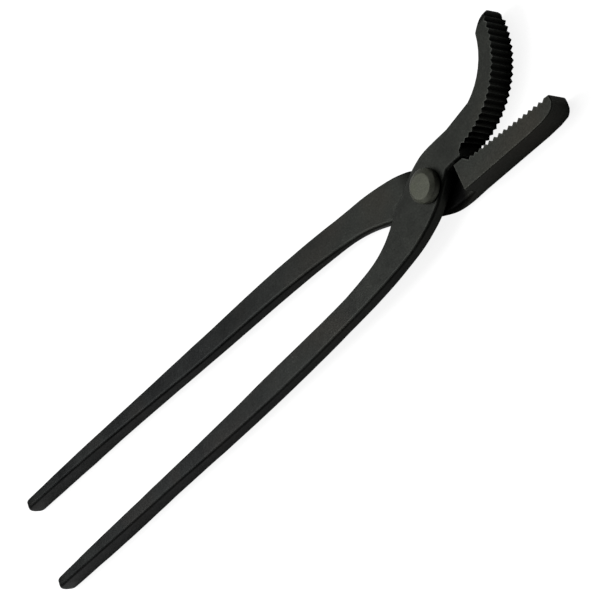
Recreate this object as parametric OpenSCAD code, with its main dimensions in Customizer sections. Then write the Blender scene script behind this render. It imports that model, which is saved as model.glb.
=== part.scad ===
// Wide-mouth blacksmith tongs: two forged halves that cross at one rivet.
// X runs along the tongs towards the jaws, Y across them and Z up along the rivet.
// The origin is on the rivet's axis, in the plane of the flat back faces.

/* [Forged stock] */
// Thickness of the jaws and of the rein ends
stock_t = 11; // [10:0.5:12]
// Gap between the two boss halves, and under the rivet head
lap_gap = 0.05; // [0.05:0.01:0.1]

/* [Rivet] */
// Radius of the rivet's shank
shank_r = 4; // [3.5:0.1:4.5]
// Running clearance round the shank in the half that turns
shank_gap = 0.05; // [0.03:0.01:0.1]
// Radius of the rivet's head
head_r = 6.5; // [6:0.1:6.8]
// Radius of the flat on top of the head
head_flat_r = 5.3; // [4.8:0.1:5.6]
// Height of the head
head_h = 4; // [3.4:0.1:4.2]
// Radius of the tail, spread into its countersink
tail_r = 5.6; // [5:0.1:6]
// Depth of the countersink
tail_depth = 1.8; // [1.4:0.1:2.2]

/* [Teeth] */
// Height of a tooth
tooth_h = 1; // [0.8:0.05:1.2]
// Number of teeth on the curved jaw
curved_teeth = 22; // [20:1:22]
// Number of teeth on the straight jaw
straight_teeth = 17; // [16:1:17]

/* [Jaws] */
// Radius of the arc through the curved jaw's tooth crests
bite_r = 34.7; // [34.3:0.1:35.1]
// Radius of the curved jaw's outer edge
hook_r = 25; // [24.8:0.1:25.4]
// Rounding of the jaw tips on the back face
tip_back_r = 3.5; // [2:0.5:4]
// Rounding of the curved jaw's tip on the front face
tip_front_r = 4.5; // [3:0.5:5]

/* [Reins] */
// Rounding of the rein ends on the front face
end_front_r = 7; // [6:0.5:7.5]
// Rounding of the rein ends on the back face
end_back_r = 2.5; // [1.5:0.5:2.5]

/* [Boss] */
// Radius of the shoulder that each boss half turns inside
shoulder_r = 13.7; // [13.6:0.1:14]
// Clearance between a boss half and that shoulder
shoulder_gap = 0.6; // [0.5:0.1:0.8]

/* [Hidden] */
$fn = 96;

lap_z = stock_t / 2;
steel = [0.17, 0.18, 0.16];
rivet_steel = [0.31, 0.31, 0.28];
spline_steps = 6;
wide = 700;

// Plan of the curved jaw. Its tooth crests and its outer edge are arcs about two near centres.
bite_centre = [17.1, 37.3];
bite_from = -86;
bite_to = -0.5;
hook_centre = [20.3, 37.1];
hook_from = -11;
hook_to = -72;
curved_tip = [[51.8, 37.8], [50.6, 38], [47.5, 34.8]];
curved_root = [[13.3, 0], [17.9, 0], [18.5, 2.1]];

// Edges of the curved half from the hook back to the end of its rein, and from there forward.
curved_inner = [[17.3, 12.1], [5.3, 11.9], [-0.7, 10.6], [-6.7, 8], [-12, 4.7], [-18, 1.6],
    [-24, -2.8], [-31, -6.6], [-40, -9.2], [-55, -10.9], [-75, -11.7], [-110, -12.6],
    [-150, -14.6], [-200, -16.7], [-250, -18.8], [-295, -20.8]];
curved_outer = [[-295, -25], [-240, -24.5], [-190, -23.4], [-140, -22.9], [-100, -22],
    [-62, -20.5], [-40, -19.1], [-20, -16.4], [-8, -12.8], [0.5, -8.5], [6.5, -3.7], [10.5, -0.2]];

// Edges of the straight half from its jaw back to the end of its rein, and from there forward.
straight_inner = [[15.3, -11.4], [7.3, -11.4], [0.3, -10.4], [-7, -7.4], [-14, -4], [-21, 0],
    [-28, 3.2], [-42, 7.4], [-62, 9.6], [-100, 11.4], [-145, 12.9], [-190, 15.3],
    [-243, 17.4], [-302, 18.9]];
straight_outer = [[-302, 23.2], [-240, 23.1], [-190, 22.7], [-140, 22], [-100, 21.4],
    [-60, 20.6], [-36, 19.4], [-20, 17], [-11, 14.4], [-5.7, 11.8]];

// Plan of the straight jaw: the first and last tooth crests, its root and its rounded nose.
tooth_line = [[19.5, -2.15], [57.4, -5.3]];
shoulder_x = 13.7;
straight_root = [[shoulder_x, -0.5], [18.2, -0.7]];
straight_nose = [[59.7, -5.6], [59.8, -8.2], [58.7, -10], [56.5, -11.2], [52.9, -11.8], [47, -12]];

// Heights of the two reins along X, from the end forward. Both start at the full stock and thin
// towards the boss, where each one runs out into its own side of the lap.
curved_top = [[-265, stock_t], [-235, 10.6], [-190, 9.7], [-140, 9.1],
    [-100, 9.1], [-60, 10.2], [-30, stock_t], [80, stock_t]];
curved_under = [[0, lap_z + lap_gap], [-22, lap_z + lap_gap], [-36, 4.9], [-60, 4], [-80, 3],
    [-115, 1.9], [-150, 1.2], [-190, 0.7], [-235, 0.1], [-260, 0]];
straight_top = [[-270, stock_t], [-240, 10.5], [-210, 9.8], [-180, 9.2], [-140, 8.9],
    [-100, 8.7], [-76, 7.9], [-58, 6.5], [-42, lap_z], [shoulder_x, lap_z]];
straight_under = [[0, 0], [-22, 0], [-36, 0.9], [-50, 1.6], [-70, 1.7], [-110, 1.8], [-150, 2],
    [-185, 1.2], [-215, 0.8], [-245, 0.1], [-265, 0]];
curved_end_x = -293;
curved_tip_y = 38;
straight_tip_x = 59.8;
straight_end_x = -299.8;

// A point of the smooth curve between b and c, with a and d as its neighbours.
function between(a, b, c, d, t) =
    0.5 * (2 * b + (c - a) * t + (2 * a - 5 * b + 4 * c - d) * t * t
        + (3 * b - a - 3 * c + d) * t * t * t);

// A smooth curve through all points.
function smooth(points) =
    let (last = len(points) - 1)
    [for (i = [0 : last - 1], s = [0 : spline_steps - 1])
        between(points[max(i - 1, 0)], points[i], points[i + 1], points[min(i + 2, last)],
            s / spline_steps),
     points[last]];

function on_arc(centre, r, a) = centre + r * [cos(a), sin(a)];

// Valley and crest of every tooth along the arc of the curved jaw, from its root to its tip. The
// first one has no valley.
function curved_serration() =
    let (step = (bite_to - bite_from) / (curved_teeth - 1))
    [for (i = [0 : curved_teeth - 1], deep = [1, 0]) if (i > 0 || deep == 0)
        on_arc(bite_centre, bite_r - deep * tooth_h, bite_from + (i - deep / 2) * step)];

// Valley and crest of every tooth along the straight jaw, from its root to its tip. The first one
// has no valley.
function straight_serration() =
    let (along = (tooth_line[1] - tooth_line[0]) / (straight_teeth - 1),
        down = tooth_h * [along[1], -along[0]] / norm(along))
    [for (i = [0 : straight_teeth - 1], deep = [1, 0]) if (i > 0 || deep == 0)
        tooth_line[0] + (i - deep / 2) * along + deep * down];

function hook_edge() =
    [for (a = [hook_from : -7 : hook_to]) on_arc(hook_centre, hook_r, a)];

// The rounded end of a rein in a side view, from its back face to its front face.
function rein_end(x) =
    concat(
        [for (a = [270 : -15 : 180]) on_arc([x + end_back_r, end_back_r], end_back_r, a)],
        [for (a = [180 : -15 : 90])
            on_arc([x + end_front_r, stock_t - end_front_r], end_front_r, a)]);

// The back corner of a jaw's tip, rounded in a side view.
function tip_back(x, a) = on_arc([x - tip_back_r, tip_back_r], tip_back_r, a);

// The front corner of the curved jaw's tip, rounded in a side view.
function tip_front(y, a) =
    on_arc([y - tip_front_r, stock_t - tip_front_r], tip_front_r, a);

module curved_plan() {
    polygon(concat(smooth(curved_outer), curved_root, curved_serration(), curved_tip,
        hook_edge(), smooth(curved_inner)));
}

module straight_plan() {
    polygon(concat(smooth(straight_outer),
        [for (a = [108 : -8 : 4]) on_arc([0, 0], shoulder_r - shoulder_gap, a)],
        straight_root, straight_serration(), straight_nose, smooth(straight_inner)));
}

module forged_plan() {
    linear_extrude(stock_t)
        children();
}

// A side view in X and Z, made a slab across the whole width.
module side_slab(side) {
    translate([0, wide / 2, 0])
        rotate([90, 0, 0])
            linear_extrude(wide)
                polygon(side);
}

module curved_jaw_half() {
    color(steel)
    difference() {
        intersection() {
            forged_plan() curved_plan();
            side_slab(concat(smooth(curved_top), [[80, 0], [0, 0]], smooth(curved_under),
                rein_end(curved_end_x)));
            rotate([0, 0, 90])
                side_slab(concat([[-80, 0]],
                    [for (a = [270 : 15 : 360]) tip_back(curved_tip_y, a)],
                    [for (a = [0 : 15 : 90]) tip_front(curved_tip_y, a)],
                    [[-80, stock_t]]));
        }
        // Room for the other boss half below the lap.
        translate([0, 0, -1])
            cylinder(r = shoulder_r, h = lap_z + lap_gap + 1);
        translate([0, 0, -1])
            cylinder(r = shank_r + shank_gap, h = stock_t + 2);
    }
}

module straight_jaw_half() {
    color(steel)
    difference() {
        intersection() {
            forged_plan() straight_plan();
            side_slab(concat(smooth(straight_top),
                [[shoulder_x, stock_t], [straight_tip_x, stock_t]],
                [for (a = [360 : -15 : 270]) tip_back(straight_tip_x, a)],
                smooth(straight_under), rein_end(straight_end_x)));
        }
        translate([0, 0, -1])
            cylinder(r = shank_r, h = stock_t);
        cylinder(r1 = tail_r, r2 = shank_r, h = tail_depth);
    }
}

module pivot_rivet() {
    head_z = stock_t + lap_gap;
    rim_h = head_h - (head_r - head_flat_r);
    color(rivet_steel) {
        cylinder(r1 = tail_r, r2 = shank_r, h = tail_depth);
        cylinder(r = shank_r, h = head_z + 1);
        translate([0, 0, head_z])
            cylinder(r = head_r, h = rim_h);
        translate([0, 0, head_z + rim_h])
            cylinder(r1 = head_r, r2 = head_flat_r, h = head_h - rim_h);
    }
}

straight_jaw_half();
curved_jaw_half();
pivot_rivet();
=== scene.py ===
"""Wide-mouth blacksmith tongs: the looks of the two forged halves and of the rivet that joins them.

X runs along the tongs towards the jaws, Y across them and Z up along the rivet. Lengths are in
metres.
"""

import math

import bmesh
import bpy
from mathutils import Matrix, Vector, noise


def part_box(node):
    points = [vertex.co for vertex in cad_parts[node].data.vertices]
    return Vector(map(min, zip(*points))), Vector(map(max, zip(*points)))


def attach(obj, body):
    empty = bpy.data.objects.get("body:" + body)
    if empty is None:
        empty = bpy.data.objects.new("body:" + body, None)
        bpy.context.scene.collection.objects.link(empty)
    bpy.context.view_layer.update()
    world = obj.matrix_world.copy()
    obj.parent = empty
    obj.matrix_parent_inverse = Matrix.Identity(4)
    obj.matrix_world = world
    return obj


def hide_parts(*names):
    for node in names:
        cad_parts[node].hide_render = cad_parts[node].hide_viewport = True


bl_info = {
    "name": "Forged tongs",
    "version": (1, 0, 0),
    "blender": (4, 5, 0),
    "location": "3D View > Sidebar > Tongs",
    "description": "Builds forged tongs with two serrated jaws around a packed frame",
    "category": "Object",
}

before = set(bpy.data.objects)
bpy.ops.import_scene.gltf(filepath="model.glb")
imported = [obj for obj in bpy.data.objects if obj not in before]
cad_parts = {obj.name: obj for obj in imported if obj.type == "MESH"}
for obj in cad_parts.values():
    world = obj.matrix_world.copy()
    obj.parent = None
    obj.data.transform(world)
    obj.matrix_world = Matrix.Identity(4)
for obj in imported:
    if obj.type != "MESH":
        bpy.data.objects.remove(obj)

MM = 0.001

# Heights in the frame: the plane where the boss halves meet, the forged front and the rivet's head.
LAP_Z = 5.5 * MM
STOCK_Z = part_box("straight_jaw_half")[1].z
RIVET_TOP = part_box("pivot_rivet")[1].z

# Two small steps that keep a surface, or a test, clear of a plane of the frame.
TINY = 0.05 * MM
LITTLE = 0.1 * MM

# The rivet, and the hole and the shoulder round it.
HEAD_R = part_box("pivot_rivet")[1].x
SHANK_R = 4 * MM
TAIL_R = 5.6 * MM
TAIL_DEPTH = 1.8 * MM
BORE_R = 4.6 * MM
SHOULDER_R = 13.7 * MM
SHOULDER_EDGE_R = SHOULDER_R + 1.5 * MM

# The teeth: an arc of crests on the curved jaw, and a straight line of crests on the other. The
# rest says how far round those lines a corner still belongs to a tooth.
BITE_CENTRE = Vector((17.1, 37.3, 0)) * MM
BITE_R = 34.7 * MM
TOOTH_LINE = (Vector((19.5, -2.15, 0)) * MM, Vector((57.4, -5.3, 0)) * MM)
TOOTH_DEPTH = 1 * MM
TOOTH_BAND = (-0.4 * TOOTH_DEPTH, 1.5 * TOOTH_DEPTH)
BEFORE_FIRST_TOOTH = 1.6 * MM
PAST_LAST_TOOTH = 2.6 * MM
BELOW_FIRST_TOOTH = 0.2 * MM

# Where the lap ends, the root of the jaws lies, the tips start and the reins start.
LAP_END_X = 13.7 * MM
ROOT_X = 18.6 * MM
ROOT_Y = 3 * MM
NOSE_X = 53.5 * MM
HOOK_TIP_Y = 31 * MM
REIN_X = -24 * MM

# How a copy of a frame half is cleaned: corners that are one, and edges too short to be rounded.
MERGE = 0.002 * MM
SLIVER = 0.01 * MM
SHORT_ON_REIN = 0.6 * MM
SHORT_ON_TIP = 0.4 * MM
FLAT_ANGLE = math.radians(0.05)

# The reins: the plain length at their ends, and how the hammer marks start.
END_ZONE = 8 * MM
HAMMER_FADE = 20 * MM
FINE_BLOWS = 2.7
FINE_SHARE = 0.2
FINE_SHIFT = Vector((7, 3, 5))

# Angles above which an edge is a crease, an upright corner or a hard edge of a half, and a hard
# edge of the rivet.
CREASE_ANGLE = math.radians(24)
CORNER_ANGLE = math.radians(40)
RIM_ANGLE = math.radians(60)

# Cosines that tell upright edges, faces that look up, back, near or sideways, edges that run on
# from each other and edges that cross.
UPRIGHT = 0.8
FACES_UP = 0.9
FACES_BACK = 0.5
FACES_NEAR = 0.3
FLANK = 0.1
GENTLE = 0.8
CROSSWISE = 0.75

# The rounding: how much of a face or of a crosswise edge it may take, its facets, and how firmly
# the flat faces beside it stay flat in the shading.
ROOM_SHARE = 0.49
ROUND_SEGMENTS = 4
FLAT_FACE_WEIGHT = 70

# The rivet: its facets, the rings on its flat, how far up the head the hammer marks and the lean
# begin, and the way it leans and tilts.
RIVET_STEPS = 64
FLAT_RINGS = (0.85, 0.7, 0.55, 0.4, 0.25, 0.12, 0)
CROWN = 0.05 * MM
MARKED_FROM = 0.3
LEANS_FROM = 0.6
LEAN = Vector((-1, -0.45, 0)).normalized()
HEAD_TILT = 0.022
TILT_REACH = 8 * MM

# The finish of both steels: strength of reflection and relief, painted shade in the tooth valleys
# and at the straight jaw's root, edges rubbed bright and painted with a highlight, and a darkening
# towards the rein ends.
DULL = 0.1
RELIEF = 0.8
# Painted shade: its colour and dull reflection tint, how dark the tooth valleys get, and how the
# shade at the straight jaw's root slants.
PAINTED_SHADE_COLOUR = (0.002, 0.002, 0.002)
PAINTED_SHADE_TINT = (0.03, 0.03, 0.03)
TOOTH_SHADE = 0.85
SHADE_SLANT = 3.6
WEAR_SAMPLES = 6
WORN_SHINE = -0.14
# The colour darkens towards the rein ends and is darkest at this X.
REIN_DARKEST_X = -140 * MM

# The stage: the floor, the lights and the camera, which is given by its place and by where its
# back and its top point.
FLOOR_DROP = 0.1 * MM
FLOOR_ROUGHNESS = 0.9
FLOOR_STAIN = 0.985
FLOOR_GLOW = 1.1
FLOOR_GLOW_SEEN = 0.8
SENSOR = 36
NEAREST = 0.01
LIGHT_AIM = (-0.08, 0, 0)
LIGHTS = (
    # Name, place and side in metres, and the setting that holds its power.
    ("key_light", (-0.95, 0.12, 1.05), 0.5, "key_power"),
    ("top_light", (-0.5, 0.6, 1.3), 1.3, "top_power"),
    ("ridge_light", (-0.92, -0.5, 0.9), 0.4, "ridge_power"),
)
CAMERA_PLACE = (0.2836, -0.2363, 0.3935)
CAMERA_BACK = (0.6257, -0.4116, 0.6626)
CAMERA_UP = (0.5299, 0.8477, 0.0261)


# ---------------------------------------------------------------- settings

def length(name, description, default):
    """A setting in metres."""
    return bpy.props.FloatProperty(
        name=name, description=description, default=default, min=0, unit="LENGTH", precision=5)


def colour(name, description, default):
    """A setting that is a colour."""
    return bpy.props.FloatVectorProperty(
        name=name, description=description, default=default, subtype="COLOR", size=3, min=0, max=1)


def factor(name, description, default, top=1):
    """A setting from 0 to 1, or to another top."""
    return bpy.props.FloatProperty(
        name=name, description=description, default=default, min=0, max=top, subtype="FACTOR")


class TongsForging(bpy.types.PropertyGroup):
    ridge_round: length("Ridges", "Rounding of the long edges on the -Y sides", 1.37 * MM)
    edge_round: length("Edges", "Rounding of the long edges on the +Y sides", 0.55 * MM)
    root_round: length("Root edges", "Rounding of the step at the straight jaw's root", 0.3 * MM)
    corner_round: length("Jaw corners", "Rounding of the upright corners of the jaws", 1.3 * MM)
    tooth_round: length("Tooth crests", "Rounding of the tooth crests and their ends", 0.17 * MM)
    waviness: length("Waviness", "Depth of the hammer's unevenness on the reins", 0.22 * MM)
    blow_length: length("Blow length", "Length of one hammer blow on the reins", 15 * MM)
    station: length("Station", "Distance between cross cuts along the reins", 4 * MM)


class TongsRivet(bpy.types.PropertyGroup):
    flat_r: length("Flat radius", "Radius of the hammered flat on the head", 4.7 * MM)
    flat_shift: length("Flat offset", "How far the flat sits off the rivet's axis", 0.35 * MM)
    dent: length("Dents", "Depth of the hammer marks on the head", 0.14 * MM)
    dent_size: length("Dent size", "Width of one hammer mark on the head", 2.6 * MM)


class TongsFinish(bpy.types.PropertyGroup):
    scale_dark: colour("Dark scale", "Thick forge scale under the oil", (0.0085, 0.009, 0.0081))
    scale_light: colour("Thin scale", "Thin forge scale, greyer", (0.0145, 0.0155, 0.0136))
    scale_warm: colour("Warm scale", "Brownish patches in the scale", (0.0155, 0.0145, 0.012))
    # The worn edge colour and the edge wear amount brighten the edges as rubbed steel and as a
    # painted highlight on ridges, tooth crests and the rivet's rim.
    worn_and_highlight: colour("Worn edge", "Steel rubbed bright along edges", (0.055, 0.057, 0.053))
    rivet_grey: colour("Rivet", "Hammered rivet head", (0.046, 0.0475, 0.039))
    rivet_dark: colour("Rivet scale", "Scale left on the rivet", (0.04, 0.0425, 0.032))
    wear_and_highlight: factor("Edge wear", "How much the edges are rubbed", 0.55)
    dust: factor("Dust", "Pale dust lying on the steel", 0.12)


class TongsStage(bpy.types.PropertyGroup):
    floor_size: length("Floor", "Side of the pale floor", 6.0)
    floor_colour: colour("Floor colour", "Pale floor", (0.8, 0.8, 0.8))
    lens: bpy.props.FloatProperty(
        name="Lens", description="Focal length of the camera, in millimetres", default=90, min=20)
    key_power: bpy.props.FloatProperty(
        name="Key light", description="Power of the soft light on the left", default=13,
        min=0, unit="POWER")
    top_power: bpy.props.FloatProperty(
        name="Top light", description="Power of the soft light overhead", default=19,
        min=0, unit="POWER")
    ridge_power: bpy.props.FloatProperty(
        name="Ridge light", description="Power of the light that picks out the rounded ridges",
        default=5, min=0, unit="POWER")
    sky: factor("Sky", "Brightness of the even light all round", 0.05, 3)


# ---------------------------------------------------------------- shader nodes

def node(tree, kind, *, op=None, **values):
    """A new shader node. Values are inputs by name: numbers, colours or other nodes' sockets."""
    made = tree.nodes.new(kind)
    if op:
        if kind == "ShaderNodeMix":
            made.data_type = "RGBA"
            made.blend_type = op
        else:
            made.operation = op
    for name, value in values.items():
        put(tree, made, name.replace("_", " "), value)
    return made


def put(tree, made, name, value):
    """Sets or links one input of a node."""
    sockets = [s for s in made.inputs if s.name == name and s.enabled]
    if not sockets:
        raise RuntimeError(f"{made.bl_idname} has no input named {name}")
    if isinstance(value, bpy.types.NodeSocket):
        tree.links.new(value, sockets[0])
    else:
        sockets[0].default_value = value


def maths(tree, op, a, b=None, c=None):
    """The result of a Math node on two or three values or sockets."""
    made = tree.nodes.new("ShaderNodeMath")
    made.operation = op
    for socket, value in zip(made.inputs, (a, b, c)):
        if isinstance(value, bpy.types.NodeSocket):
            tree.links.new(value, socket)
        elif value is not None:
            socket.default_value = value
    return made.outputs[0]


def blend(tree, mask, a, b, op="MIX"):
    """The colour between a and b by a mask."""
    return node(tree, "ShaderNodeMix", op=op, Factor=mask, A=a, B=b).outputs["Result"]


def ramp(tree, value, low, high, start=0.0, end=1.0):
    """The value remapped from low..high to start..end, and held there."""
    made = node(tree, "ShaderNodeMapRange", Value=value, From_Min=low, From_Max=high,
                To_Min=start, To_Max=end)
    made.clamp = True
    return made.outputs["Result"]


def shaded(tree, base, shade, blue_shade):
    """A colour made darker or lighter by a factor, with one of its own for blue."""
    shades = node(tree, "ShaderNodeCombineXYZ", X=shade, Y=shade, Z=blue_shade).outputs[0]
    return blend(tree, 1.0, base, shades, "MULTIPLY")


def speckle(tree, place, scale, detail=3.0, rough=0.55):
    """Noise at a scale given in marks per metre."""
    made = node(tree, "ShaderNodeTexNoise", Vector=place, Scale=scale, Detail=detail,
                Roughness=rough)
    return made.outputs["Fac"]


def new_group(name, inputs, outputs):
    """A shader node group with named sockets, with its input and output nodes."""
    tree = bpy.data.node_groups.new(name, "ShaderNodeTree")
    for kind, title, default in inputs:
        socket = tree.interface.new_socket(title, in_out="INPUT", socket_type="NodeSocket" + kind)
        if default is not None:
            socket.default_value = default
    for kind, title in outputs:
        tree.interface.new_socket(title, in_out="OUTPUT", socket_type="NodeSocket" + kind)
    return tree, tree.nodes.new("NodeGroupInput").outputs, tree.nodes.new("NodeGroupOutput").inputs


def place_group(tree, group, **values):
    """One use of a group in a material."""
    made = tree.nodes.new("ShaderNodeGroup")
    made.node_tree = group
    for name, value in values.items():
        put(tree, made, name.replace("_", " "), value)
    return made.outputs


def rgba(value):
    """A colour with a full alpha."""
    return (*value, 1)


def forge_scale_group():
    """Oiled forge scale: dark and thin patches, warm stains, pits and a fine grain."""
    tree, given, out = new_group(
        "forge_scale",
        [("Vector", "Place", None), ("Color", "Dark", (0.01, 0.01, 0.01, 1)),
         ("Color", "Thin", (0.02, 0.02, 0.02, 1)), ("Color", "Warm", (0.02, 0.018, 0.015, 1)),
         ("Float", "Patches per metre", 60.0), ("Float", "Grain per metre", 1800.0),
         ("Float", "Smooth", 0.36), ("Float", "Rough", 0.56)],
        [("Color", "Color"), ("Float", "Roughness"), ("Float", "Height")])
    place = given["Place"]
    patches = speckle(tree, place, given["Patches per metre"], detail=5)
    thin = ramp(tree, patches, low=0.38, high=0.66)
    stain_scale = maths(tree, "MULTIPLY", given["Patches per metre"], 0.7)
    stains = speckle(tree, place, stain_scale, detail=2)
    warm = ramp(tree, stains, low=0.5, high=0.7, start=0, end=0.7)
    grain = speckle(tree, place, given["Grain per metre"], detail=4, rough=0.6)
    pits = node(tree, "ShaderNodeTexVoronoi", Vector=place,
                Scale=maths(tree, "MULTIPLY", given["Grain per metre"], 0.35)).outputs["Distance"]
    dip_scale = maths(tree, "MULTIPLY", given["Patches per metre"], 5)
    dips = speckle(tree, place, dip_scale, detail=3)
    base = blend(tree, thin, given["Dark"], given["Thin"])
    base = blend(tree, warm, base, given["Warm"])
    shade = ramp(tree, grain, low=0.3, high=0.7, start=0.78, end=1.22)
    tree.links.new(shaded(tree, base, shade, shade), out["Color"])
    mixed = maths(tree, "ADD", maths(tree, "MULTIPLY", thin, 0.6),
                  maths(tree, "MULTIPLY", grain, 0.4))
    span = maths(tree, "SUBTRACT", given["Rough"], given["Smooth"])
    tree.links.new(maths(tree, "MULTIPLY_ADD", mixed, span, given["Smooth"]), out["Roughness"])
    pitted = maths(tree, "MULTIPLY", ramp(tree, pits, low=0.0, high=0.22), 0.3)
    fine = maths(tree, "MULTIPLY_ADD", grain, 0.5, pitted)
    tree.links.new(maths(tree, "MULTIPLY_ADD", dips, 1.1, fine), out["Height"])
    return tree


def edge_wear_and_highlight_group():
    """Convex edges brightened as rubbed steel and as a painted highlight, broken up by a noise."""
    tree, given, out = new_group(
        "edge_wear",
        [("Vector", "Place", None), ("Color", "Color", (0.02, 0.02, 0.02, 1)),
         ("Color", "Worn", (0.06, 0.06, 0.06, 1)), ("Float", "Roughness", 0.5),
         ("Float", "Width", 0.0008), ("Float", "Amount", 0.5)],
        [("Color", "Color"), ("Float", "Roughness")])
    rounded = node(tree, "ShaderNodeBevel", Radius=given["Width"])
    rounded.samples = WEAR_SAMPLES
    facing = tree.nodes.new("ShaderNodeNewGeometry").outputs["Normal"]
    dot = node(tree, "ShaderNodeVectorMath", op="DOT_PRODUCT")
    tree.links.new(rounded.outputs[0], dot.inputs[0])
    tree.links.new(facing, dot.inputs[1])
    edge = ramp(tree, dot.outputs["Value"], low=0.998, high=0.93)
    patches = speckle(tree, given["Place"], 420, detail=4)
    broken = ramp(tree, patches, low=0.36, high=0.62, start=0.25, end=1)
    mask = maths(tree, "MULTIPLY", maths(tree, "MULTIPLY", edge, broken), given["Amount"])
    tree.links.new(blend(tree, mask, given["Color"], given["Worn"]), out["Color"])
    shine = maths(tree, "MULTIPLY", mask, WORN_SHINE)
    tree.links.new(maths(tree, "ADD", given["Roughness"], shine), out["Roughness"])
    return tree


def dust_group():
    """Pale dust in fine specks that lie in drifts."""
    tree, given, out = new_group(
        "bench_dust",
        [("Vector", "Place", None), ("Color", "Color", (0.02, 0.02, 0.02, 1)),
         ("Color", "Dust", (0.16, 0.16, 0.15, 1)), ("Float", "Amount", 0.1)],
        [("Color", "Color")])
    specks = speckle(tree, given["Place"], 1500, detail=2, rough=0.7)
    specks = ramp(tree, specks, low=0.62, high=0.76)
    drifts = ramp(tree, speckle(tree, given["Place"], 90, detail=3), low=0.45, high=0.7)
    mask = maths(tree, "MULTIPLY", maths(tree, "MULTIPLY", specks, drifts), given["Amount"])
    tree.links.new(blend(tree, mask, given["Color"], given["Dust"]), out["Color"])
    return tree


def rein_tone_and_lap_shade_group():
    """Painted shade at the straight jaw's root, and a colour darker towards the rein ends."""
    tree, given, out = new_group(
        "marks_of_use",
        [("Vector", "Place", None), ("Color", "Color", (0.02, 0.02, 0.02, 1))],
        [("Float", "Soot"), ("Color", "Color")])
    axes = node(tree, "ShaderNodeSeparateXYZ", Vector=given["Place"]).outputs
    # The colour darkens towards the rein ends, the blue a little less.
    rein_darkening = ramp(tree, axes["X"], low=REIN_DARKEST_X, high=0, start=0.6, end=1)
    rein_darkening_blue = ramp(tree, axes["X"], low=REIN_DARKEST_X, high=0, start=0.67, end=1)
    tree.links.new(shaded(tree, given["Color"], rein_darkening, rein_darkening_blue), out["Color"])
    # Painted shade on the straight half's lap and side wall in the gap at its root.
    across = maths(tree, "MULTIPLY", ramp(tree, axes["X"], low=-16 * MM, high=-8 * MM),
                   ramp(tree, axes["X"], low=LAP_END_X + 0.6 * MM, high=LAP_END_X))
    slant = maths(tree, "MULTIPLY_ADD", axes["Z"], -SHADE_SLANT, axes["X"])
    corner = LAP_END_X - SHADE_SLANT * LAP_Z
    inner = ramp(tree, slant, low=corner + 3 * MM, high=corner - 5 * MM)
    under = ramp(tree, axes["Z"], low=STOCK_Z - 0.5 * MM, high=STOCK_Z - 2 * MM)
    soot = maths(tree, "MULTIPLY", across, maths(tree, "MULTIPLY", inner, under))
    tree.links.new(soot, out["Soot"])
    return tree


def shared_group(name):
    """A shared effect, built the first time that it is asked for."""
    makers = {"forge_scale": forge_scale_group, "edge_wear": edge_wear_and_highlight_group,
              "bench_dust": dust_group, "marks_of_use": rein_tone_and_lap_shade_group}
    return bpy.data.node_groups.get(name) or makers[name]()


def steel_material(name, dark, thin, warm, worn_and_highlight, wear_and_highlight, dust, *, patches, grain, smooth, rough,
                   metallic, edge_tint, bump, wear_and_highlight_width, lap_shade=False):
    """Forged steel: scale, edges rubbed and painted as a highlight, painted shade, a darkening
    towards the rein ends and dust over one Principled BSDF.
    """
    found = bpy.data.materials.get(name)
    if found:
        return found
    made = bpy.data.materials.new(name)
    made.use_nodes = True
    tree = made.node_tree
    shader = tree.nodes["Principled BSDF"]
    place = tree.nodes.new("ShaderNodeTexCoord").outputs["Object"]
    scale = place_group(
        tree, shared_group("forge_scale"), Place=place, Dark=rgba(dark), Thin=rgba(thin),
        Warm=rgba(warm), Patches_per_metre=patches, Grain_per_metre=grain, Smooth=smooth,
        Rough=rough)
    # The edge brightening is rubbed steel and a painted highlight.
    rubbed_and_highlit = place_group(
        tree, shared_group("edge_wear"), Place=place, Color=scale["Color"], Worn=rgba(worn_and_highlight),
        Roughness=scale["Roughness"], Width=wear_and_highlight_width, Amount=wear_and_highlight)
    toned_and_shaded = place_group(tree, shared_group("marks_of_use"), Place=place, Color=rubbed_and_highlit["Color"])
    dusty = place_group(
        tree, shared_group("bench_dust"), Place=place, Color=toned_and_shaded["Color"], Amount=dust)
    relief = node(tree, "ShaderNodeBump", Strength=RELIEF, Distance=bump, Height=scale["Height"])
    # Painted shade: the tooth valleys, and on the straight half the gap at its root, turn nearly
    # black and reflect less.
    shade_attribute = tree.nodes.new("ShaderNodeAttribute")
    shade_attribute.attribute_name = "soot"
    soot = maths(tree, "MULTIPLY", shade_attribute.outputs["Fac"], TOOTH_SHADE)
    if lap_shade:
        soot = maths(tree, "MAXIMUM", soot, toned_and_shaded["Soot"])
    tree.links.new(blend(tree, soot, dusty["Color"], rgba(PAINTED_SHADE_COLOUR)), shader.inputs["Base Color"])
    tint = blend(tree, soot, rgba((edge_tint,) * 3), rgba(PAINTED_SHADE_TINT))
    tree.links.new(tint, shader.inputs["Specular Tint"])
    tree.links.new(rubbed_and_highlit["Roughness"], shader.inputs["Roughness"])
    tree.links.new(relief.outputs[0], shader.inputs["Normal"])
    shader.inputs["Metallic"].default_value = metallic
    shader.inputs["Specular IOR Level"].default_value = DULL
    made.diffuse_color = rgba(thin)
    return made


def forged_material(name="oiled_forge_scale", lap_shade=False):
    """Oiled forge scale for a half, with or without painted shade at its root."""
    f = bpy.context.scene.tongs_finish
    return steel_material(
        name, f.scale_dark, f.scale_light, f.scale_warm, f.worn_and_highlight, f.wear_and_highlight, f.dust,
        patches=45, grain=1500, smooth=0.36, rough=0.52, metallic=0.85, edge_tint=0.5,
        bump=0.12 * MM, wear_and_highlight_width=0.9 * MM, lap_shade=lap_shade)


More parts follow.
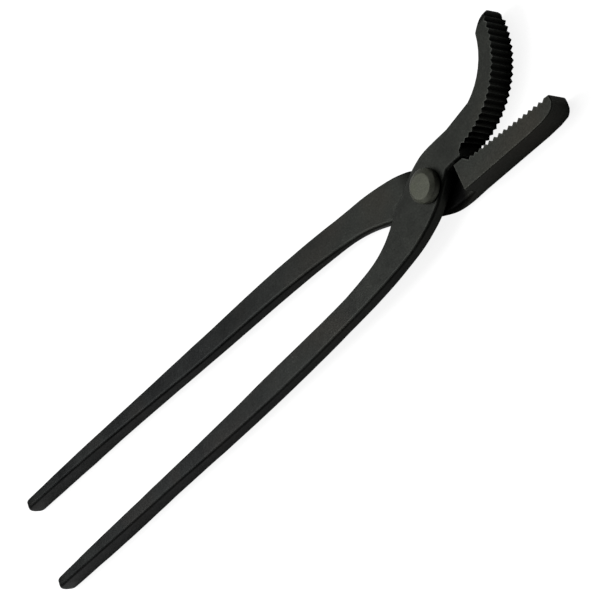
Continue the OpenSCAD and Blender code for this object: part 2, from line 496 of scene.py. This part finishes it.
def rivet_material():
    """The rivet's own steel, greyer and hammered bright."""
    f = bpy.context.scene.tongs_finish
    return steel_material(
        "hammered_rivet_steel", f.rivet_dark, f.rivet_grey, f.rivet_grey, f.worn_and_highlight, f.wear_and_highlight, f.dust,
        patches=260, grain=2600, smooth=0.46, rough=0.62, metallic=0.6, edge_tint=1,
        bump=0.08 * MM, wear_and_highlight_width=0.5 * MM)


# ---------------------------------------------------------------- mesh

def half_copy(node_name):
    """A copy of a frame half with its corners merged and its flat faces whole."""
    bm = bmesh.new()
    bm.from_mesh(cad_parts[node_name].data)
    bmesh.ops.remove_doubles(bm, verts=bm.verts, dist=MERGE)
    bmesh.ops.dissolve_limit(bm, angle_limit=FLAT_ANGLE, verts=bm.verts, edges=bm.edges)
    return bm


def cross_cut(bm, x):
    """Cuts the faces on the rein's side of the rivet across, at one place along X."""
    faces = [f for f in bm.faces if f.calc_center_median().x < 0]
    edges = {e for f in faces for e in f.edges}
    verts = {v for f in faces for v in f.verts}
    bmesh.ops.bisect_plane(bm, geom=[*verts, *edges, *faces], dist=MERGE, plane_co=(x, 0, 0),
                           plane_no=(1, 0, 0))


def hammer_reins(bm, settings):
    """Cross cuts along the rein, then a shallow unevenness that only takes steel away."""
    end = min(v.co.x for v in bm.verts)
    x = REIN_X
    while x > end + END_ZONE:
        cross_cut(bm, x)
        x -= settings.station
    crowded = [v for v in bm.verts if end + END_ZONE - MM < v.co.x < REIN_X + 5 * MM]
    bmesh.ops.remove_doubles(bm, verts=crowded, dist=SHORT_ON_REIN)
    bm.normal_update()
    for v in bm.verts:
        fade = min(1, max(0, (REIN_X - v.co.x) / HAMMER_FADE))
        if fade:
            broad = noise.noise(v.co / settings.blow_length)
            fine = noise.noise(v.co / settings.blow_length * FINE_BLOWS + FINE_SHIFT)
            depth = 0.5 + 0.5 * broad + FINE_SHARE * fine
            v.co -= v.normal * settings.waviness * fade * max(0, depth)
            v.co.z = max(0, v.co.z)


def tooth_depth(node_name, point):
    """How far a point lies below that half's line of tooth crests."""
    flat = Vector((point.x, point.y, 0))
    if node_name == "curved_jaw_half":
        return BITE_R - (flat - BITE_CENTRE).length
    first, last = TOOTH_LINE
    along = (last - first).normalized()
    offset = flat - first
    return offset.x * along.y - offset.y * along.x


def on_teeth(node_name, point):
    """Whether a point lies on the serration of that half."""
    if not TOOTH_BAND[0] < tooth_depth(node_name, point) < TOOTH_BAND[1]:
        return False
    if node_name == "curved_jaw_half":
        return point.x > ROOT_X - 1 * MM and point.y > -BELOW_FIRST_TOOTH
    first, last = TOOTH_LINE
    along = (last - first).normalized()
    reach = (Vector((point.x, point.y, 0)) - first).dot(along)
    return -BEFORE_FIRST_TOOTH < reach < (last - first).length + PAST_LAST_TOOTH


def shade_tooth_valleys(bm, node_name):
    """Paints shade on the low corners of the teeth's flanks, in the valleys between the teeth."""
    soot = bm.loops.layers.float.new("soot")
    for f in bm.faces:
        if abs(f.normal.z) > FLANK or not all(on_teeth(node_name, v.co) for v in f.verts):
            continue
        for loop in f.loops:
            loop[soot] = tooth_depth(node_name, loop.vert.co) > 0.5 * TOOTH_DEPTH


def edge_round(node_name, edge, settings):
    """The rounding that an edge has on the real tool, or 0 for one that stays sharp or smooth."""
    if len(edge.link_faces) != 2 or edge.calc_face_angle_signed() < CREASE_ANGLE:
        return 0
    a, b = (v.co for v in edge.verts)
    middle = (a + b) / 2
    reach = Vector((middle.x, middle.y)).length
    if reach < BORE_R:
        return 0
    curved = node_name == "curved_jaw_half"
    at_root = ROOT_X - 0.5 * MM < middle.x < ROOT_X + MM and abs(middle.y) < ROOT_Y
    if at_root or (on_teeth(node_name, a) and on_teeth(node_name, b)):
        return settings.tooth_round
    if curved and middle.z < LAP_Z - LITTLE and reach < SHOULDER_EDGE_R:
        return 0
    if abs(a.z - b.z) > UPRIGHT * (a - b).length and middle.x > 0:
        if middle.x < ROOT_X + MM:
            return settings.tooth_round
        return settings.corner_round if edge.calc_face_angle() > CORNER_ANGLE else 0
    back, near = (min(f.normal[axis] for f in edge.link_faces) for axis in (0, 1))
    on_front = (middle.z > STOCK_Z - LITTLE
                and max(f.normal.z for f in edge.link_faces) > FACES_UP)
    if not curved and on_front and middle.x < ROOT_X and back < -FACES_BACK:
        return settings.root_round
    return settings.ridge_round if near < -FACES_NEAR else settings.edge_round


def fitted_round(edge, wanted):
    """The rounding cut back to what the edges that meet this one crosswise have room for."""
    along = (edge.verts[1].co - edge.verts[0].co).normalized()
    for v in edge.verts:
        for other in v.link_edges:
            reach = other.verts[1].co - other.verts[0].co
            if other is not edge and abs(reach.normalized().dot(along)) < CROSSWISE:
                wanted = min(wanted, ROOM_SHARE * reach.length)
    for face in edge.link_faces:
        start = edge.verts[0].co
        width = max((v.co - start - (v.co - start).dot(along) * along).length for v in face.verts)
        wanted = min(wanted, ROOM_SHARE * width)
    return wanted


def even_along_rims(bm, rounds, tooth_round):
    """Gives each run of edges that turns only gently one rounding, the least of its own."""
    runs = list(range(len(rounds)))

    def run_of(i):
        while runs[i] != i:
            i = runs[i]
        return i

    for v in bm.verts:
        rounded = [e for e in v.link_edges if rounds[e.index] > tooth_round]
        for i, a in enumerate(rounded):
            for b in rounded[i + 1:]:
                ways = [(e.other_vert(v).co - v.co).normalized() for e in (a, b)]
                if ways[0].dot(ways[1]) < -GENTLE:
                    runs[run_of(a.index)] = run_of(b.index)
    least = {}
    for i, r in enumerate(rounds):
        if r > 0:
            least[run_of(i)] = min(r, least.get(run_of(i), r))
    return [least[run_of(i)] if r > 0 else 0 for i, r in enumerate(rounds)]


def smooth_sharp(bm, rounds):
    """Smooth faces, with hard edges only where a crease has no rounding."""
    for f in bm.faces:
        f.smooth = True
    for e, r in zip(bm.edges, rounds):
        e.smooth = r > 0 or len(e.link_faces) != 2 or e.calc_face_angle() < CORNER_ANGLE


def forged_half(node_name, body, settings, material):
    """One forged half of the tongs, around its frame node. The piece is named as its body."""
    bm = half_copy(node_name)
    # Painted shade in the tooth valleys.
    shade_tooth_valleys(bm, node_name)
    tip = [v for v in bm.verts
           if (v.co.y > HOOK_TIP_Y or (v.co.y < 0 and v.co.x > NOSE_X))
           and TINY < v.co.z < STOCK_Z - TINY]
    bmesh.ops.remove_doubles(bm, verts=tip, dist=SHORT_ON_TIP)
    hammer_reins(bm, settings)
    bm.edges.ensure_lookup_table()
    bm.edges.index_update()
    rounds = [fitted_round(e, edge_round(node_name, e, settings)) for e in bm.edges]
    rounds = even_along_rims(bm, rounds, settings.tooth_round)
    smooth_sharp(bm, rounds)
    widest = max(rounds)
    weights = bm.edges.layers.float.new("bevel_weight_edge")
    for e, r in zip(bm.edges, rounds):
        e[weights] = r / widest
    made = finish_mesh(bm, body, material)
    bevel = made.modifiers.new("rounded edges", "BEVEL")
    bevel.limit_method = "WEIGHT"
    bevel.width = widest
    bevel.segments = ROUND_SEGMENTS
    bevel.use_clamp_overlap = False
    bevel.miter_outer = "MITER_SHARP"
    keep_in_stock(made)
    add_weighted_normals(made)
    settle(made, body, node_name)


def keep_in_stock(made):
    """Makes the rounding part of the mesh, and holds it between the stock's two planes."""
    shaped = made.evaluated_get(bpy.context.evaluated_depsgraph_get())
    mesh = bpy.data.meshes.new_from_object(shaped)
    made.modifiers.clear()
    made.data = mesh
    bm = bmesh.new()
    bm.from_mesh(mesh)
    for v in bm.verts:
        v.co.z = min(STOCK_Z, max(0, v.co.z))
    bmesh.ops.remove_doubles(bm, verts=bm.verts, dist=SLIVER)
    bm.to_mesh(mesh)
    bm.free()


def finish_mesh(bm, piece_name, material):
    """A new object in the scene from a finished mesh."""
    mesh = bpy.data.meshes.new(piece_name)
    bm.to_mesh(mesh)
    bm.free()
    mesh.materials.append(material)
    made = bpy.data.objects.new(piece_name, mesh)
    bpy.context.scene.collection.objects.link(made)
    return made


def add_weighted_normals(made):
    """Shading in which the flat faces stay flat beside their rounded edges."""
    shading = made.modifiers.new("even shading", "WEIGHTED_NORMAL")
    shading.keep_sharp = True
    shading.weight = FLAT_FACE_WEIGHT


def settle(made, body, node_name):
    """Makes a piece stand for a frame node and move with its body."""
    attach(made, body)
    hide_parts(node_name)


def rivet_piece(settings, material):
    """The rivet, turned from its profile and then hammered over at the head."""
    head_z = STOCK_Z + TINY
    flat_z = RIVET_TOP - LITTLE
    rim_r = HEAD_R - TINY
    profile = [
        (0, 0), (TAIL_R - 0.4 * MM, 0), (TAIL_R - TINY, LITTLE), (SHANK_R, TAIL_DEPTH),
        (SHANK_R, head_z - LITTLE), (SHANK_R, head_z), (rim_r - 0.8 * MM, head_z),
        (rim_r - 0.25 * MM, head_z + 0.15 * MM), (rim_r, head_z + 0.5 * MM),
        (rim_r, head_z + 1.2 * MM), (rim_r, head_z + 2 * MM),
        (rim_r - LITTLE, head_z + 2.6 * MM), (rim_r - 0.3 * MM, head_z + 2.9 * MM),
        (settings.flat_r + 0.25 * MM, flat_z - 0.22 * MM),
        (settings.flat_r + LITTLE, flat_z - 0.06 * MM), (settings.flat_r - 0.15 * MM, flat_z),
    ]
    profile += [(settings.flat_r * share, flat_z + CROWN * (1 - share)) for share in FLAT_RINGS]
    bm = bmesh.new()
    points = [bm.verts.new((r, 0, z)) for r, z in profile]
    for a, b in zip(points, points[1:]):
        bm.edges.new((a, b))
    bmesh.ops.spin(bm, geom=[*bm.verts, *bm.edges], cent=(0, 0, 0), axis=(0, 0, 1),
                   angle=math.tau, steps=RIVET_STEPS, use_merge=True)
    bmesh.ops.remove_doubles(bm, verts=bm.verts, dist=MERGE)
    bmesh.ops.recalc_face_normals(bm, faces=bm.faces)
    bm.normal_update()
    shift = LEAN * settings.flat_shift
    for v in bm.verts:
        lift = max(0, v.co.z - head_z) / (RIVET_TOP - head_z)
        if lift > MARKED_FROM:
            blow = noise.noise(v.co / settings.dent_size)
            v.co -= v.normal * settings.dent * (0.5 + 0.5 * blow) * lift
            v.co += shift * max(0, lift - LEANS_FROM) / (1 - LEANS_FROM)
            v.co.z -= HEAD_TILT * (v.co.x + v.co.y + TILT_REACH) * lift
    for f in bm.faces:
        f.smooth = True
    for e in bm.edges:
        e.smooth = len(e.link_faces) != 2 or e.calc_face_angle() < RIM_ANGLE
    made = finish_mesh(bm, "rivet", material)
    add_weighted_normals(made)
    settle(made, "straight_half", "pivot_rivet")


# ---------------------------------------------------------------- stage

def soft_light(name, place, size, power):
    """A square area light that looks at the tongs."""
    light = bpy.data.lights.new(name, "AREA")
    light.shape = "SQUARE"
    light.size = size
    light.energy = power
    made = bpy.data.objects.new(name, light)
    made.location = place
    made.rotation_euler = (Vector(place) - Vector(LIGHT_AIM)).to_track_quat("Z", "Y").to_euler()
    bpy.context.scene.collection.objects.link(made)


def camera_looking(place, back, up, lens):
    """A camera whose own axes are given by where its back and its top point."""
    back = Vector(back).normalized()
    right = Vector(up).cross(back).normalized()
    data = bpy.data.cameras.new("camera")
    data.lens = lens
    data.sensor_width = SENSOR
    data.clip_start = NEAREST
    made = bpy.data.objects.new("camera", data)
    axes = Matrix((right, back.cross(right), back)).transposed().to_4x4()
    made.matrix_world = Matrix.Translation(place) @ axes
    bpy.context.scene.collection.objects.link(made)
    bpy.context.scene.camera = made


def pale_material(value):
    """A pale floor that glows for the camera, so that only faint shadows show on it."""
    made = bpy.data.materials.new("pale_floor")
    made.use_nodes = True
    tree = made.node_tree
    shader = tree.nodes["Principled BSDF"]
    place = tree.nodes.new("ShaderNodeTexCoord").outputs["Object"]
    shade = ramp(tree, speckle(tree, place, 8, detail=2), low=0.3, high=0.7)
    stained = rgba([c * FLOOR_STAIN for c in value])
    tree.links.new(blend(tree, shade, stained, rgba(value)), shader.inputs["Base Color"])
    shader.inputs["Roughness"].default_value = FLOOR_ROUGHNESS
    shader.inputs["Specular IOR Level"].default_value = DULL
    glow = node(tree, "ShaderNodeEmission", Color=(1, 1, 1, 1), Strength=FLOOR_GLOW)
    camera_ray = tree.nodes.new("ShaderNodeLightPath").outputs["Is Camera Ray"]
    seen = maths(tree, "MULTIPLY", camera_ray, FLOOR_GLOW_SEEN)
    mixed = tree.nodes.new("ShaderNodeMixShader")
    output = tree.nodes["Material Output"]
    tree.links.new(seen, mixed.inputs[0])
    tree.links.new(shader.outputs[0], mixed.inputs[1])
    tree.links.new(glow.outputs[0], mixed.inputs[2])
    tree.links.new(mixed.outputs[0], output.inputs["Surface"])
    return made


# ---------------------------------------------------------------- operators

class TONGS_OT_halves(bpy.types.Operator):
    """Build the two forged halves, with their jaws, boss halves and reins"""
    bl_idname = "tongs.halves"
    bl_label = "Forged halves"
    bl_options = {"REGISTER", "UNDO"}

    def execute(self, context):
        settings = context.scene.tongs_forging
        # The straight half's steel carries painted shade at its root.
        forged_half("straight_jaw_half", "straight_half", settings,
                    forged_material("oiled_forge_scale_sooty_lap", lap_shade=True))
        forged_half("curved_jaw_half", "curved_half", settings, forged_material())
        return {"FINISHED"}


class TONGS_OT_rivet(bpy.types.Operator):
    """Build the rivet with its hammered head"""
    bl_idname = "tongs.rivet"
    bl_label = "Rivet"
    bl_options = {"REGISTER", "UNDO"}

    def execute(self, context):
        rivet_piece(context.scene.tongs_rivet, rivet_material())
        return {"FINISHED"}


class TONGS_OT_stage(bpy.types.Operator):
    """Build the pale floor, the soft lights and the camera"""
    bl_idname = "tongs.stage"
    bl_label = "Stage"
    bl_options = {"REGISTER", "UNDO"}

    def execute(self, context):
        settings = context.scene.tongs_stage
        bm = bmesh.new()
        bmesh.ops.create_grid(bm, x_segments=1, y_segments=1, size=settings.floor_size / 2)
        bmesh.ops.translate(bm, verts=bm.verts, vec=(0, 0, -FLOOR_DROP))
        floor = finish_mesh(bm, "floor", pale_material(settings.floor_colour))
        world = context.scene.world or bpy.data.worlds.new("even_light")
        context.scene.world = world
        world.use_nodes = True
        sky = world.node_tree.nodes["Background"].inputs
        sky["Color"].default_value = (1, 1, 1, 1)
        sky["Strength"].default_value = settings.sky
        context.scene.view_settings.view_transform = "Standard"
        for name, place, size, power in LIGHTS:
            soft_light(name, place, size, getattr(settings, power))
        camera_looking(CAMERA_PLACE, CAMERA_BACK, CAMERA_UP, settings.lens)
        return {"FINISHED"}


class TONGS_PT_panel(bpy.types.Panel):
    """The tongs' pieces and their settings"""
    bl_idname = "TONGS_PT_panel"
    bl_label = "Forged tongs"
    bl_space_type = "VIEW_3D"
    bl_region_type = "UI"
    bl_category = "Tongs"

    def draw(self, context):
        layout = self.layout
        for operator in OPERATORS:
            layout.operator(operator.bl_idname)
        for owner in SETTINGS:
            box = layout.box()
            group = getattr(context.scene, owner)
            for name in SETTINGS[owner].__annotations__:
                box.prop(group, name)


OPERATORS = (TONGS_OT_stage, TONGS_OT_halves, TONGS_OT_rivet)
SETTINGS = {
    "tongs_forging": TongsForging,
    "tongs_rivet": TongsRivet,
    "tongs_finish": TongsFinish,
    "tongs_stage": TongsStage,
}


def register():
    for kind in (*SETTINGS.values(), *OPERATORS, TONGS_PT_panel):
        bpy.utils.register_class(kind)
    for owner, kind in SETTINGS.items():
        setattr(bpy.types.Scene, owner, bpy.props.PointerProperty(type=kind))


def unregister():
    for owner in SETTINGS:
        delattr(bpy.types.Scene, owner)
    for kind in reversed((*SETTINGS.values(), *OPERATORS, TONGS_PT_panel)):
        bpy.utils.unregister_class(kind)


def main():
    """Builds everything."""
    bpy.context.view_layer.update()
    register()
    bpy.ops.tongs.stage()
    bpy.ops.tongs.halves()
    bpy.ops.tongs.rivet()


if __name__ == "__main__":
    main()
